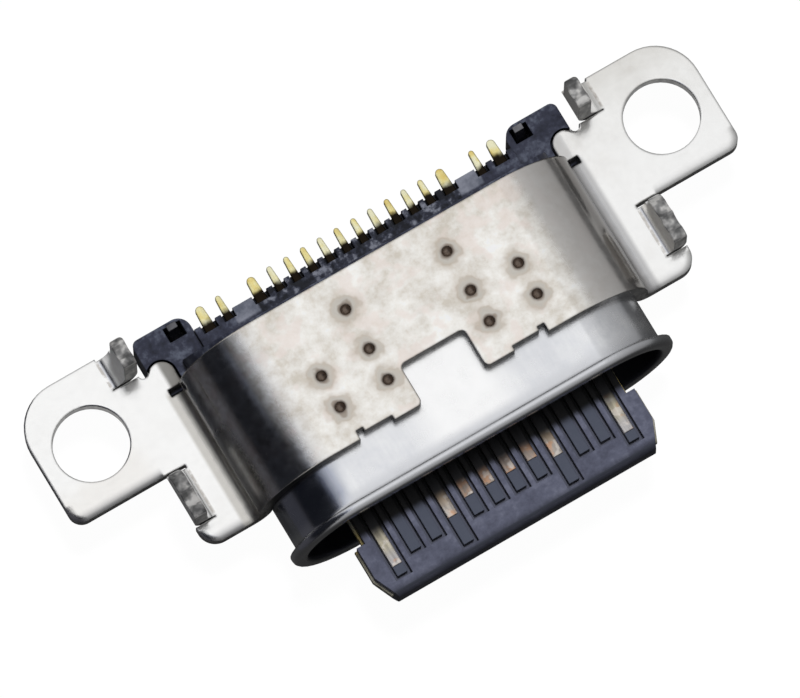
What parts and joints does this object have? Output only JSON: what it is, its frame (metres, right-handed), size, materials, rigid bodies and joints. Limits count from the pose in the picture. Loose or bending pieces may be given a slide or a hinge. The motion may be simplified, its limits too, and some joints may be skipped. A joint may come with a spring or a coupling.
{
  "type": "charging port",
  "caption": "Board-mount charging port with a lipped metal shell, a contact tongue, and a spot-welded cover with screw ears and bent locating tabs.",
  "frame": {"origin": "midway between the two screw holes, on the ears' upper face, which lies against the board", "axes": "+X along the ears, -Y out of the mouth, +Z from the ears towards the cover's top"},
  "size_m": [0.016, 0.0075, 0.0034],
  "materials": {
    "cover_metal": "satin",
    "shell_metal": "satin",
    "plate_metal": "satin",
    "contact_metal": "satin",
    "tongue_plastic": "matte",
    "housing_plastic": "matte"
  },
  "bodies": {
    "root": {"mounting_cover": "cover_metal", "port_shell": "shell_metal", "rear_housing": "housing_plastic", "upper_insulator": "tongue_plastic", "lower_insulator": "tongue_plastic", "mid_plate": "plate_metal", "upper_contact_1": "contact_metal", "upper_contact_4": "contact_metal", "upper_contact_5": "contact_metal", "upper_contact_6": "contact_metal", "upper_contact_7": "contact_metal", "upper_contact_8": "contact_metal", "upper_contact_9": "contact_metal", "upper_contact_12": "contact_metal", "lower_contact_1": "contact_metal", "lower_contact_4": "contact_metal", "lower_contact_5": "contact_metal", "lower_contact_6": "contact_metal", "lower_contact_7": "contact_metal", "lower_contact_8": "contact_metal", "lower_contact_9": "contact_metal", "lower_contact_12": "contact_metal"}
  },
  "joints": []
}
